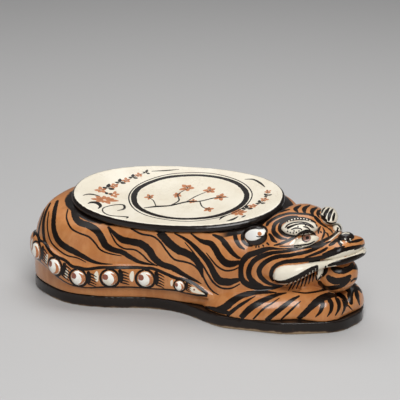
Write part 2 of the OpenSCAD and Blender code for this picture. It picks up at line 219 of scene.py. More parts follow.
def solid_of(*nodes):
    """Copies of CAD nodes in one mesh."""
    solid = bmesh.new()
    for node in nodes:
        solid.from_mesh(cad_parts[node].data)
    bmesh.ops.remove_doubles(solid, verts=solid.verts, dist=same_place)
    mesh = bpy.data.meshes.new("copy")
    solid.to_mesh(mesh)
    solid.free()
    return mesh


def clay(name, mesh, grain, rubs, swell=0.0, faces=60000, one_skin=True):
    """New piece: a mesh fused on a grid of that grain, rubbed smooth, and swollen a little onto its seat."""
    mesh.materials.clear()
    piece = bpy.data.objects.new(name, mesh)
    bpy.context.scene.collection.objects.link(piece)
    fuse = piece.modifiers.new("fuse", "REMESH")
    fuse.mode = "VOXEL"
    fuse.voxel_size = grain
    rub = piece.modifiers.new("rub", "SMOOTH")
    rub.factor = 0.5
    rub.iterations = rubs
    evaluated(piece)
    if one_skin:
        biggest_skin(piece.data)
    if swell:
        grow = piece.modifiers.new("swell", "DISPLACE")
        grow.strength = swell
        grow.mid_level = 0
    thin = piece.modifiers.new("thin", "DECIMATE")
    thin.ratio = min(1.0, faces / (2 * len(piece.data.polygons)))
    evaluated(piece)
    piece.data.shade_smooth()
    return piece


def fit(piece, material, slot, *nodes):
    """Gives a piece its material and its place on the rigid body, and hides the CAD nodes that it stands for.
    """
    piece.data.materials.clear()
    piece.data.materials.append(material)
    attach(piece, "root")
    if nodes:
        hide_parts(*nodes)
    return piece


black_glaze_colour = (0.0095, 0.0056, 0.004)
brown_glaze_colour = (0.065, 0.028, 0.013)
bare_clay_dark = (0.27, 0.19, 0.115)
bare_clay_pale = (0.36, 0.26, 0.16)
bare_strip = 0.8 * MM
bare_strip_at_paws = 2.4 * MM
paws_from = (30 * MM, 100 * MM)
paws_to = (182 * MM, 160 * MM)
dip_wave = 4 * MM


def base_paint(ground):
    x, _, z = axes(ground)
    by_the_paws = x.ramp(*paws_from) * x.ramp(*paws_to)
    strip = bare_strip + by_the_paws * (bare_strip_at_paws - bare_strip)
    edge = z - strip + (noise(ground, 14 * MM, 3, 1.3) - 0.5) * dip_wave
    glazed = edge.ramp(-0.5 * MM, 0.5 * MM)
    thin = edge.ramp(2 * MM, 0.0)
    black = (thin * 0.6 + noise(ground, 6 * MM, 4, 2.2).ramp(0.62, 0.8) * 0.35).between(
        black_glaze_colour, brown_glaze_colour)
    clay_tone = noise(ground, 3 * MM, 5, 4.4).between(bare_clay_dark, bare_clay_pale)
    return glazed.between(clay_tone, black), 0.8 - glazed * 0.5, glazed * 0.8


base = clay("base_slab", solid_of("base_slab"), grain=1.2 * MM, rubs=6, faces=40000)
fit(base, fired("black_dipped_stoneware", base_paint), "black_glaze", "base_slab")

# Body
# The hollow body is two pressed half shells. Forelegs, paws, tail, head and lower jaw were formed apart,
# luted on with slip and smoothed over by hand, so the joints run into each other under one ochre ground.
least_outward = 0.05


def wall_skin():
    """The outer faces of both half shells, closed below the headrest and on the base."""
    shell = bmesh.new()
    shell.from_mesh(solid_of("right_body_wall", "left_body_wall"))
    inner = []
    for face in shell.faces:
        middle = face.calc_center_median()
        outward = Vector((middle.x, middle.y, 0)).normalized() + Vector((0, 0, 1))
        if face.normal.dot(outward) < least_outward:
            inner.append(face)
    bmesh.ops.delete(shell, geom=inner, context="FACES")
    bmesh.ops.holes_fill(shell, edges=[edge for edge in shell.edges if edge.is_boundary], sides=0)
    mesh = bpy.data.meshes.new("walls")
    shell.to_mesh(mesh)
    shell.free()
    return mesh


def luted(*meshes):
    """Several meshes laid together in one."""
    joined = bmesh.new()
    for mesh in meshes:
        joined.from_mesh(mesh)
    whole = bpy.data.meshes.new("luted")
    joined.to_mesh(whole)
    joined.free()
    return whole


headrest_half = (112.5 * MM, 61 * MM)
headrest_rise = math.tan(math.radians(1.5))
headrest_slope = math.tan(math.radians(11))
seam_z = 100 * MM
seam_band = 2.8 * MM
neck_from = 62 * MM
neck_to = 104 * MM
neck_edge = 6 * MM
neck_low = (58 * MM, 62 * MM)
blacked_reach = 1.15
blacked_more_at_neck = 0.05
ochre_deep = (0.44, 0.16, 0.045)
ochre_bright = (0.55, 0.22, 0.07)
ochre_streak = (0.63, 0.30, 0.115)
ochre_thick = (0.31, 0.115, 0.036)
iron_speck = (0.10, 0.045, 0.02)


def ochre_paint(ground):
    tone = noise(ground, 45 * MM, 3, 7.7).ramp(0.3, 0.7).between(ochre_deep, ochre_bright)
    streaks = noise(ground, 7 * MM, 5, 8.1, (1, 1, 0.35)).ramp(0.38, 0.72)
    tone = (streaks * 0.42).between(tone, ochre_streak)
    thick = noise(ground, 16 * MM, 4, 6.3).ramp(0.58, 0.78)
    tone = (thick * 0.5).between(tone, ochre_thick)
    specks = noise(ground, 1.5 * MM, 2, 9.9).ramp(0.72, 0.76)
    tone = (specks * 0.6).between(tone, iron_speck)
    x, y, z = axes(ground)
    along, across = x / headrest_half[0], y / headrest_half[1]
    rim = along * along + across * across
    uneven = noise(ground, 9 * MM, 3, 4.6) - 0.5
    reach = blacked_reach + x.ramp(neck_from, neck_to) * blacked_more_at_neck + uneven * 0.05
    behind_head = x.ramp(neck_from - neck_edge, neck_from + neck_edge) * z.ramp(*neck_low)
    below_seam = seam_z + x * headrest_rise + y * headrest_slope - z + uneven * 1.5 * MM
    by_the_seam = below_seam.ramp(seam_band + 0.4 * MM, seam_band - 0.4 * MM)
    blacked = (reach - rim).ramp(-0.012, 0.012) * by_the_seam.maths("MAXIMUM", by_the_seam, behind_head)
    return blacked.between(tone, black_glaze_colour), 0.35, 1.0


body_nodes = ("tail", "right_foreleg", "left_foreleg", "right_paw", "left_paw", "head", "lower_jaw")
body = clay("tiger_body", luted(wall_skin(), solid_of(*body_nodes)), grain=1.0 * MM, rubs=34, faces=150000)
fit(body, fired("ochre_under_clear_glaze", ochre_paint), "ochre_glaze",
    "right_body_wall", "left_body_wall", *body_nodes)

# Headrest
# A thick oval slab, dished for the sleeper's head and tilted to one side, that closes the body.
# White slip covers its top. Its edge and the seam below it were blacked with a full brush.
slip_cream = (0.76, 0.69, 0.55)
slip_white = (0.84, 0.78, 0.65)
stain_colour = (0.60, 0.46, 0.29)
crackle_colour = (0.42, 0.30, 0.18)
crackle_size = 5 * MM
brown_speck = (0.16, 0.09, 0.05)


def white_paint(ground):
    tone = noise(ground, 30 * MM, 4, 11.0).ramp(0.3, 0.7).between(slip_cream, slip_white)
    stain = noise(ground, 11 * MM, 5, 12.0).ramp(0.6, 0.8)
    tone = (stain * 0.3).between(tone, stain_colour)
    cells = ground.node("ShaderNodeTexVoronoi", {"feature": "DISTANCE_TO_EDGE"},
                        {"Vector": ground.node("ShaderNodeNewGeometry"), "Scale": 1 / crackle_size})
    crackle = cells.ramp(0.035, 0.0) * noise(ground, 25 * MM, 3, 13.0).ramp(0.45, 0.65)
    tone = (crackle * 0.35).between(tone, crackle_colour)
    specks = noise(ground, 1.4 * MM, 2, 14.0).ramp(0.745, 0.78)
    return (specks * 0.5).between(tone, brown_speck), 0.3, 1.0


headrest_tilt = Vector((-headrest_rise, -headrest_slope, 1)).normalized()
edge_lean = (0.96, 0.92)


def headrest_paint(ground):
    tone, roughness, cover = white_paint(ground)
    x, y, z = axes(ground, 1)
    facing_up = x * headrest_tilt.x + y * headrest_tilt.y + z * headrest_tilt.z
    uneven = facing_up + (noise(ground, 12 * MM, 2, 15.0) - 0.5) * 0.06
    return uneven.ramp(*edge_lean).between(tone, black_glaze_colour), roughness, cover


white_glaze = fired("white_slip_under_clear_glaze", white_paint)
headrest = clay("headrest_slab", solid_of("headrest_slab"), grain=0.9 * MM, rubs=5)
fit(headrest, fired("white_slip_with_black_edge", headrest_paint), "white_slip", "headrest_slab")

# Face pieces
# Ears, brows, eyeballs, lips, fangs and nose are pats and rolls of clay pressed onto the head.
# All but the black nose were brushed with white slip.
ear_along = {"right_ear": Vector((0.866, -0.5, 0)), "left_ear": Vector((0.914, -0.407, 0))}
ear_climb = 0.29
ear_half = (15.5 * MM, 8.2 * MM)
ear_white_shift = (3 * MM, 2.8 * MM)
# Brighter white for the middle of the ears: a painted highlight.
ear_highlight_white = (0.95, 0.94, 0.90)
ear_ring = (0.44, 0.54)


def ear_paint(node):
    """Paint for an ear: white slip that brightens towards the middle as a painted highlight, in a broad black
    ring.
    """
    low, high = (Vector(corner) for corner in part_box(node))
    along = ear_along[node]
    middle = (low + high) / 2 + along * ear_white_shift[0] + Vector((0, 0, ear_white_shift[1]))

    def paint(ground):
        tone, roughness, cover = white_paint(ground)
        x, y, z = axes(ground)
        level = (x - middle.x) * along.x + (y - middle.y) * along.y
        length = level / ear_half[0]
        height = (z - middle.z - level * ear_climb) / ear_half[1]
        ring = length * length + height * height + (noise(ground, 6 * MM, 2, 16.0) - 0.5) * 0.15
        # Towards the middle the white slip brightens: a painted highlight.
        white = ring.ramp(1.2, 0).between(tone, ear_highlight_white)
        return ring.ramp(*ear_ring).between(white, black_glaze_colour), roughness, cover
    return paint


face_faces = 12000
face = []
for node, grain, rubs, swell in (
        ("right_ear", 0.7, 14, 0.7), ("left_ear", 0.7, 14, 0.7),
        ("right_brow", 0.6, 14, 0.7), ("left_brow", 0.6, 14, 0.7),
        ("right_eye", 0.5, 10, 0.5), ("left_eye", 0.5, 10, 0.5),
        ("right_lip", 0.6, 14, 0.6), ("left_lip", 0.6, 14, 0.6),
        ("right_fang", 0.35, 8, 0.3), ("left_fang", 0.35, 8, 0.3)):
    piece = clay(node, solid_of(node), grain * MM, rubs, swell * MM, face_faces)
    glaze = fired("white_" + node, ear_paint(node)) if node in ear_along else white_glaze
    face.append(fit(piece, glaze, "white_slip", node))
nose = clay("nose", solid_of("nose"), grain=0.4 * MM, rubs=8, swell=0.4 * MM, faces=face_faces)
face.append(nose)
fit(nose, fired("black_glaze", lambda ground: ((*black_glaze_colour, 1), 0.3, 1.0)), "black_glaze", "nose")

# Tail bosses
# Nine low pats of clay pressed onto the tail in a row. They are covered with white slip, mixed in patches
# towards a brighter white than on the face: painted light, as if the bosses caught more light.
# Brighter white that the bosses' slip is mixed towards in patches: painted light.
boss_painted_light_white = (0.95, 0.93, 0.86)


def boss_paint(ground):
    tone, roughness, cover = white_paint(ground)
    return noise(ground, 8 * MM, 3, 17.0).ramp(0.25, 0.6).between(tone, boss_painted_light_white), roughness, cover


bosses = clay("tail_bosses", solid_of("tail_bosses"), grain=0.6 * MM, rubs=8, swell=0.4 * MM, faces=30000,
              one_skin=False)
fit(bosses, fired("white_slip_with_painted_light", boss_paint), "white_slip", "tail_bosses")

# Flank stripes
# Thick wavy stripes with thin ones beside them, brushed freehand in black slip from the headrest's edge
# towards the tail and the cheek. The slip lies as a film, thin and brown where the brush ran dry.


class Skin:
    """All the clay surfaces together, on which brush marks are laid."""

    def __init__(self, pieces):
        self.points, self.leans, self.faces = [], [], []
        for piece in pieces:
            mesh = piece.data
            mesh.calc_loop_triangles()
            first = len(self.points)
            self.points += [point.co.copy() for point in mesh.vertices]
            self.leans += [point.normal.copy() for point in mesh.vertices]
            self.faces += [[first + corner for corner in face.vertices] for face in mesh.loop_triangles]
        self.tree = BVHTree.FromPolygons(self.points, self.faces, all_triangles=True)

    def beside(self, place):
        """Nearest place on the clay, and which way the smooth surface leans there."""
        spot, _, face, _ = self.tree.find_nearest(place)
        corners = self.faces[face]
        lean = barycentric_transform(
            spot, *(self.points[corner] for corner in corners), *(self.leans[corner] for corner in corners))
        return spot, lean.normalized()

    def along(self, start, way):
        """First place on the clay from a start along a way, or None."""
        return self.tree.ray_cast(start, way)[0]


class Brush:
    """One colour of slip: marks as thin strips that follow the clay, collected in one mesh."""

    column = 1.1 * MM
    sunk = 0.06 * MM
    wobble = 0.14
    wobble_length = 2.6 * MM
    full_load = 1.0 * MM
    edge_load = 0.6
    least_slant = 0.6

    def __init__(self, film):
        self.film = film
        self.places, self.leans, self.loads, self.faces = [], [], [], []

    def lay(self, run, toward=None):
        """Adds a mark from its (place, width) in turn; a width read along a line of sight is that seen."""
        first = len(self.places)
        middles = max(2, round(max(width for place, width in run) / self.column))
        across = (-1, -0.86, *np.linspace(-0.6, 0.6, middles), 0.86, 1)
        for step, (place, width) in enumerate(run):
            ahead = run[min(step + 1, len(run) - 1)][0] - run[max(step - 1, 0)][0]
            spot, lean = skin.beside(place)
            side = lean.cross(ahead).normalized()
            if toward is not None:
                width = width / max(self.least_slant, (side - toward * side.dot(toward)).length)
            for share in across:
                shake = 1 + self.wobble * clouds.noise(place / self.wobble_length + Vector((0, 0, 9 * share)))
                edge, lean = skin.beside(spot + side * share * width / 2 * shake)
                self.places.append(edge + lean * (-self.sunk if abs(share) == 1 else self.film))
                self.leans.append(lean)
                self.loads.append(min(1, width / self.full_load) * (self.edge_load if abs(share) == 1 else 1))
        wide = len(across)
        for step in range(len(run) - 1):
            for column in range(wide - 1):
                corner = first + step * wide + column
                self.faces.append((corner, corner + wide, corner + wide + 1, corner + 1))

    def draw(self, stroke, sight, unit=MM, step=0.8, toward=None, change=None):
        """Adds a stroke where lines of sight meet the clay, and again where change carries it."""
        runs = settle(stroke, sight, unit, step)
        for run in runs:
            self.lay(run, toward)
        for run in carried(runs, change) if change else ():
            self.lay(run)

    def piece(self, name, material, slot):
        """Makes the marks one piece of the scene."""
        mesh = bpy.data.meshes.new(name)
        mesh.from_pydata(self.places, [], self.faces)
        load = mesh.attributes.new("load", "FLOAT", "POINT")
        load.data.foreach_set("value", self.loads)
        mesh.shade_smooth()
        mesh.normals_split_custom_set_from_vertices(self.leans)
        marks = bpy.data.objects.new(name, mesh)
        bpy.context.scene.collection.objects.link(marks)
        return fit(marks, material, slot)


def flow(points, step):
    """Even places along a smooth line through given ones, each with its width, round at both ends."""
    knots = np.array(points, float)
    knots = np.vstack([2 * knots[0] - knots[1], knots, 2 * knots[-1] - knots[-2]])
    f = np.linspace(0, 1, 16, endpoint=False)[:, None]
    line = [
        (2 * b + (c - a) * f + (2 * a - 5 * b + 4 * c - d) * f ** 2 + (3 * b - a - 3 * c + d) * f ** 3) / 2
        for a, b, c, d in zip(knots, knots[1:], knots[2:], knots[3:])]
    line = np.vstack([*line, knots[-2:-1]])
    way = np.r_[0, np.cumsum(np.linalg.norm(np.diff(line[:, :-1], axis=0), axis=1))]
    even = np.linspace(0, way[-1], max(6, round(way[-1] / step)) + 1)
    line = np.stack([np.interp(even, way, part) for part in line.T], 1)
    width = np.maximum(line[:, -1], 0.15)
    inside = np.clip(np.minimum(even, way[-1] - even) / (width / 2), 0, 1)
    line[:, -1] = np.maximum(width * np.sqrt(inside * (2 - inside)), 0.12)
    return line


widest_step = 7 * MM


def settle(points, sight, unit=MM, step=0.8):
    """Runs of (place, width) where a drawn line falls on the clay, parted where it leaves an edge."""
    runs = [[]]
    for *point, width in flow(points, step):
        place = skin.along(*sight(point))
        gap = place is None or (runs[-1] and (place - runs[-1][-1][0]).length > widest_step)
        if gap:
            runs.append([])
        if place is not None:
            runs[-1].append((place, width * unit))
    return [run for run in runs if len(run) > 2]


same_spot = 2.5 * MM


def carried(runs, change, reach=9 * MM):
    """Runs repeated elsewhere on the clay, left out where the camera sees or where no clay is near."""
    found = [[]]
    for run in runs:
        found.append([])
        for place, width in run:
            moved = change(place)
            spot = skin.beside(moved)[0]
            seen = skin.along(eye_point, (spot - eye_point).normalized())
            shown = seen is not None and (seen - spot).length < same_spot
            if shown or (spot - moved).length > reach:
                found.append([])
            else:
                found[-1].append((spot, width))
    return [run for run in found if len(run) > 4]


def from_camera(pixel):
    return eye_point, line_of_sight(pixel)


clear_of_clay = 0.3
clear_of_rump = 0.4


def from_far_side(point):
    return Vector((point[0] * MM, clear_of_clay, point[1] * MM)), Vector((0, -1, 0))


def from_behind(point):
    return Vector((-clear_of_rump, point[0] * MM, point[1] * MM)), Vector((1, 0, 0))


def slip_paint(thick, thin, cover=1.0):
    """Paint for brush marks: one colour where the slip lies thick, another where it is thin."""
    def paint(ground):
        load = ground.node("ShaderNodeAttribute", {"attribute_name": "load"}, out=2)
        dry = noise(ground, 2.5 * MM, 4, 21.0) * 0.5 + load * 0.75
        return dry.ramp(0.35, 0.85).between(thin, thick), 0.32, cover
    return paint


pixel_size = 1.053 * MM
flank_brush = 1.21 * pixel_size
skin = Skin([base, body, headrest, bosses, *face])
black_slip = fired("black_slip_under_clear_glaze", slip_paint(black_glaze_colour, brown_glaze_colour, 0.4))

# Each stroke is a run of pixels of the photograph, with the stroke's thickness there.
flank_strokes = {
    "rump_outer": ((51, 198, 2), (43, 209, 3.4), (37, 223, 3.6), (33.5, 237, 2)),
    "rump_thin": ((45, 208, 1.2), (40, 224, 2.2), (38.5, 237, 2.2), (41, 249, 1.6), (44, 255, 0.8)),
    "rump_inner": ((50.5, 202.5, 2), (45.5, 213, 2.6), (43.3, 224, 3), (43.8, 236, 3), (47, 247, 2.6),
        (52, 253, 2), (57, 257, 1)),
    "first": ((57.5, 200, 3), (54.6, 211, 4), (53.4, 224, 4.6), (55, 234, 5), (59.5, 242, 5.4),
        (67, 247.8, 5.4), (75, 252, 5), (84, 257, 4), (93, 261.5, 3), (102, 263.7, 1.8), (113, 264.2, 0.6)),
    "first_thin": ((49, 211, 1), (47.4, 222, 1.3), (48, 232, 1.4), (51.2, 242, 1.4), (58.3, 249.7, 1.4),
        (67, 255.4, 1.4), (77.4, 258, 1.2), (86.3, 262.4, 0.8)),
    "second": ((73.2, 207, 4.5), (75, 216.5, 5.4), (80, 222.3, 6), (89, 225.7, 6), (96.5, 230.6, 6),
        (101.6, 238, 6), (105.8, 245.6, 5.8), (113, 249.7, 4.8), (122, 252.2, 4.4), (130, 257, 4),
        (139, 261.8, 3), (148, 264, 2), (157, 265.6, 0.6)),
    "second_thin": ((68, 208.5, 1.2), (66.6, 218, 1.5), (71, 228, 1.6), (79, 233, 1.5), (89, 237, 1.6),
        (95.3, 243.3, 1.6), (100.4, 249.7, 1.5), (109.3, 253.5, 1.3), (122, 256, 0.7)),
    "third": ((107.5, 226.5, 2), (114.4, 233.5, 3.5), (122, 239.5, 5.5), (132, 241.8, 6), (141, 244, 6.2),
        (148.8, 250, 6.5), (154, 257.8, 6), (161.6, 264, 5.2), (172, 267.6, 5), (179.4, 272, 4.6),
        (187, 276.5, 3.6), (195, 280.3, 2.2), (202, 284.1, 0.6)),
    "third_thin": ((108.5, 229, 1), (112, 236, 1.3), (117, 244, 1.5), (124.6, 248.6, 1.5),
        (134.8, 249.9, 1.5), (142.4, 254.8, 1.5), (148.8, 261.2, 1.4), (157.8, 266.3, 0.8)),
    "fourth": ((156, 229.5, 6), (164, 237.5, 6.8), (170.5, 244.2, 7), (178.2, 250, 6.8), (187, 253.5, 6.2),
        (194.7, 258.6, 5.8), (199.8, 266.3, 4.8), (203.2, 276.5, 1)),
    "fourth_thin": ((130, 228, 1.6), (141, 233.8, 1.8), (152.7, 236.3, 1.7), (160.3, 242, 1.6),
        (166.7, 251, 1.6), (174.3, 259.3, 1.7), (184.5, 261.8, 1.7), (192.2, 264.4, 1.5),
        (198.6, 270.1, 1.3), (202.4, 277.8, 0.6)),
    "fifth": ((174, 233, 1.2), (185.8, 239.5, 2.6), (193.5, 245.9, 3.6), (200, 252.5, 4.2),
        (207, 260.5, 4.6), (211, 267, 5), (214.4, 274, 5.6), (219.5, 280.6, 6.4), (229, 282, 6),
        (240, 279.4, 3)),
    "fifth_thin": ((184.5, 242, 0.8), (192.2, 251, 1.2), (198, 259, 1.4), (203.5, 266.5, 1.6),
        (208.5, 275, 1.7), (213.5, 282.5, 1.7), (221, 287.8, 1.7), (231, 288.3, 1.5), (240.5, 283.6, 1)),
    "fifth_upper": ((206, 252.5, 0.8), (211, 259, 1.3), (217, 266, 1.5), (225, 270.5, 1.6), (233, 270, 1.4),
        (239, 267.3, 1)),
    "long_thin": ((192.5, 257, 1), (197.5, 264, 1.4), (202, 274, 1.6), (207.5, 285, 1.6), (213, 291.5, 1.4),
        (219, 295, 0.8)),
    "sixth": ((190.5, 233, 1.2), (198, 239, 2.5), (203.5, 241.8, 4), (210.5, 243.6, 5), (215.5, 249.5, 5.4),
        (219.5, 256.5, 5.6), (224.5, 262, 6), (230.5, 264, 6), (236, 263, 4.4), (240.5, 261.6, 2.5)),
    "seventh": ((212, 234.5, 1.5), (216, 236, 2.6), (221.5, 239, 4), (226.4, 244.8, 4.4), (231.2, 251.5, 4),
        (236, 256, 3), (241, 258.5, 1.5)),
    "seventh_thin": ((221.5, 243, 0.8), (228, 250.3, 1.2), (235.5, 257, 1.2), (239.5, 259, 0.8)),
    "by_the_ear": ((234.6, 228.6, 1.5), (234.8, 234, 3.4), (236.2, 240, 3.6), (239.8, 246, 3),
        (245, 249.5, 1.2)),
}
stripes = Brush(film=0.12 * MM)
for stroke in flank_strokes.values():
    stripes.draw(stroke, from_camera, flank_brush, toward=view_back)

# The far flank and the rump, which the photograph doesn't show, have stripes of the same kind.
far_stripe_count = 12
far_stripe_gap = 19.5
far_stripe_start = -122
far_stripe_lean = 44
far_stripe_sway = 7
far_top = 113
far_fall = 86
far_marks = ((0, 7), (-8, 1.8))
rump_top = 104
rump_fall = 40
rump_marks = ((-22, 4), (-8, 1.6), (4, 5), (18, 1.6), (30, 4.5))


def thinning(full, share):
    """Width of a mark that runs dry towards its end."""
    return full * (1.05 - share) ** 0.5


def lay_unseen(line, sight):
    """Lays a stripe only where the photograph doesn't show the clay."""
    for run in carried(settle(line, sight), Vector):
        stripes.lay(run)


for order in range(far_stripe_count):
    head_end = far_stripe_start + far_stripe_gap * order
    for shift, full in far_marks:
        line = []
        for share in np.linspace(0, 1, 9):
            sway = far_stripe_sway * math.sin(2 * math.pi * (1.15 * share + 0.17 * order))
            fall = far_top - (far_fall + 6 * math.sin(order)) * share
            line.append((head_end + shift + far_stripe_lean * share + sway, fall, thinning(full, share)))
        lay_unseen(line, from_far_side)
for across, full in rump_marks:
    lay_unseen([
        (across - 10 * share + 4 * math.sin(6 * share), rump_top - rump_fall * share, thinning(full, share))
        for share in np.linspace(0, 1, 6)], from_behind)
stripes.piece("flank_stripes", black_slip, "black_glaze")

# Foreleg and paw stripes
# Slanting black strokes that climb the forelegs from the base, with an arch and toe lines on each paw.
leg_strokes = {
    "elbow_pool": ((203, 306.5, 1), (210, 308, 3.4), (218, 310.5, 5.4), (226, 312.4, 4), (231, 312.6, 1.5)),
    "elbow": ((214, 310.5, 4), (225, 307, 7), (232.4, 301, 6.5), (242, 295.6, 5.4), (254, 292.8, 4.2),
        (265, 292.2, 3.2), (277, 292.6, 0.8)),
    "elbow_lower": ((224, 318, 4.2), (235.5, 308.6, 3.4), (244.5, 302.4, 2.8), (252, 298, 1.4),
        (256, 295.6, 0.6)),
    "middle": ((237, 322, 5), (249, 309.5, 6), (258, 303.2, 5.6), (267.6, 298.3, 4.6), (277.3, 294.6, 3.2),
        (287, 292.7, 1)),
    "middle_thin": ((252, 320.5, 1.6), (262.7, 309.4, 2), (272.4, 303, 1.6), (280, 297.6, 0.8)),
    "wrist": ((264, 322.5, 4.4), (277.3, 311.5, 4.8), (285.8, 304.8, 4.4), (293, 299.4, 3.2),
        (300, 295.6, 1.5)),
    "wrist_thin": ((280, 320.5, 1.6), (290.6, 310.5, 2.2), (297.5, 304, 1.4), (301, 301, 0.8)),
    "paw_arch": ((293.5, 323, 3.6), (305, 312.8, 5.2), (312.4, 305.5, 6), (319.7, 299.4, 6.8),
        (327, 295.8, 7), (334.2, 294.6, 6.8), (341, 296.6, 5.8), (345.4, 301, 4.8), (347, 307, 3)),
    "first_toe": ((322.5, 300, 4), (322.4, 306, 4.2), (320, 312, 3), (315, 317.5, 0.8)),
    "second_toe": ((328.5, 298, 4.4), (331.4, 304, 4.4), (331, 310.5, 3.2), (327, 317, 0.8)),
    "third_toe": ((336, 297, 4.2), (338.9, 303, 4.2), (338.4, 309.5, 3), (335, 316, 0.8)),
    "fourth_toe": ((342, 298.5, 3.2), (344.6, 304, 3.4), (344.2, 309.5, 2.6), (341.5, 315, 0.8)),
    "jaw_shadow": ((292, 291.5, 1), (304.6, 293, 1.5), (314, 292, 1.8), (324, 290, 2.6), (331, 288, 3)),
}
far_paw_strokes = {
    "arch": ((351.8, 305, 3), (350.4, 298, 5.6), (350.6, 292, 6.4), (352.4, 288.8, 6.4),
        (355.8, 287.4, 5.8), (359.6, 289, 4.8), (362, 292.5, 3.4)),
    "toe": ((356, 288.5, 4), (357, 294, 4.8), (358.5, 300, 3), (359.8, 305.5, 0.8)),
    "side": ((346, 303.5, 1), (349.5, 307, 1.4), (352.8, 310.5, 0.8)),
}
head_turn = math.radians(27)
head_middle = Vector((151 * MM, -25 * MM, 0))
head_left = Vector((math.sin(head_turn), math.cos(head_turn), 0))


def to_other_cheek(place):
    """Mirror image of a place about the middle plane of the head."""
    return place - head_left * 2 * (place - head_middle).dot(head_left)


leg_brush = 1.06 * pixel_size
leg_lines = Brush(film=0.12 * MM)
for stroke in leg_strokes.values():
    leg_lines.draw(stroke, from_camera, leg_brush, toward=view_back, change=to_other_cheek)
for stroke in far_paw_strokes.values():
    leg_lines.draw(stroke, from_camera, leg_brush, toward=view_back)
leg_lines.piece("foreleg_stripes", black_slip, "black_glaze")

# Tail eyes
# Every boss is painted as an eye: a black ring, a brown pupil, an ochre shadow on the side towards the tip,
# a bar with lashes beyond it, and a dab of white slip before the next ring. Black lines edge the tail.
boss_height = 17 * MM
clear_of_boss = 14 * MM
boss_solid = bmesh.new()
boss_solid.from_mesh(solid_of("tail_bosses"))
boss_places = []
boss_sizes = []


def middle_of(island):
    return sum((point.co for point in island), Vector()) / len(island)


for island in sorted(islands(boss_solid), key=lambda group: math.atan2(*middle_of(group).yx) % math.tau):
    heights = [point.co.z for point in island]
    boss_places.append(middle_of(island))
    boss_sizes.append((max(heights) - min(heights)) / boss_height)
boss_solid.free()


def on_boss(order):
    """Sight that sets (along, up) millimetres about a boss, square to the tail there."""
    before = boss_places[max(order - 1, 0)]
    after = boss_places[min(order + 1, len(boss_places) - 1)]
    along = (after - before).normalized()
    outward = along.cross(Vector((0, 0, 1))).normalized()
    up = outward.cross(along)
    size = boss_sizes[order]

    def sight(point):
        spot = boss_places[order] + (along * point[0] + up * point[1]) * size * MM
        return spot + outward * clear_of_boss, -outward
    return sight


def arc(radius, start, end, full, thin, middle=(0, 0)):
    """Stroke along an arc, in degrees, thick in its middle and thin at its ends."""
    stroke = []
    for share in np.linspace(0, 1, 13):
        turn = math.radians(start + (end - start) * share)
        thickness = thin + (full - thin) * math.sin(math.pi * share)
        stroke.append((middle[0] + radius * math.cos(turn), middle[1] + radius * math.sin(turn), thickness))
    return stroke


def spot_of(middle, radius):
    """Round dab: a short stroke as wide as it is long."""
    return [(middle[0] + radius * share, middle[1], 2 * radius) for share in (-1, -0.5, 0, 0.5, 1)]


fine_step = 0.6
lash_levels = (7.6, 4.4, 1.2, -2, -5.2)
tail_lines = Brush(film=0.14 * MM)
tail_browns = Brush(film=0.12 * MM)
tail_ochres = Brush(film=0.09 * MM)
tail_whites = Brush(film=0.07 * MM)
for order in range(len(boss_places)):
    sight = on_boss(order)
    for brush, stroke in (
            (tail_whites, [(-13.6, 8, 2), (-14.4, 3, 5.2), (-14, -4, 2.6)]),
            (tail_lines, arc(10.1, 100, 460, 3.1, 2.3)),
            (tail_ochres, arc(6.6, -80, 80, 3.8, 0.8)),
            (tail_browns, spot_of((-4.3, 2.6), 3.5)),
            (tail_lines, [(10.5, 10, 4), (12.2, 5.5, 4.8), (12.6, 0, 4.4), (11.8, -6, 2.2)]),
            *((tail_lines, [(12.5, level, 2.1), (16.4, level - 0.9, 1.8), (21, level - 2.8, 0.9)])
              for level in lash_levels)):
        brush.draw(stroke, sight, MM * boss_sizes[order], fine_step)
last_boss = len(boss_places) - 1
for edge_level, edge_width, to_tip in (
        (11.6, 3.6, ((10, 10.5), (24, 7), (50, -6))), (-11, 2.9, ((10, -12), (26, -11), (50, -8)))):
    edge = []
    for order in range(len(boss_places)):
        beyond = to_tip if order == last_boss else ((9, edge_level),)
        for point in ((-9, edge_level), (0, edge_level), *beyond):
            place = skin.along(*on_boss(order)(point))
            if place is not None:
                edge.append((*(place / MM), edge_width))
    tail_lines.lay([(Vector(place) * MM, width * MM) for *place, width in flow(edge, 1.0)])
for brush, stroke in (
        (tail_whites, [(18, 0, 5), (25, -2, 11), (34, -4.5, 6), (45, -6.5, 1)]),
        (tail_browns, spot_of((26, -1.5), 1.8))):
    brush.draw(stroke, on_boss(last_boss), MM * boss_sizes[last_boss], fine_step)
brown_slip = fired("brown_slip_under_clear_glaze", slip_paint((0.27, 0.088, 0.052), (0.38, 0.17, 0.10)))
ochre_slip = fired("ochre_slip_under_clear_glaze", slip_paint((0.50, 0.19, 0.075), (0.64, 0.36, 0.18)))
tail_lines.piece("tail_lines", black_slip, "black_glaze")
tail_browns.piece("tail_pupils", brown_slip, "ochre_glaze")
tail_ochres.piece("tail_eye_shadows", ochre_slip, "ochre_glaze")
tail_whites.piece("tail_white_dabs", white_glaze, "white_slip")

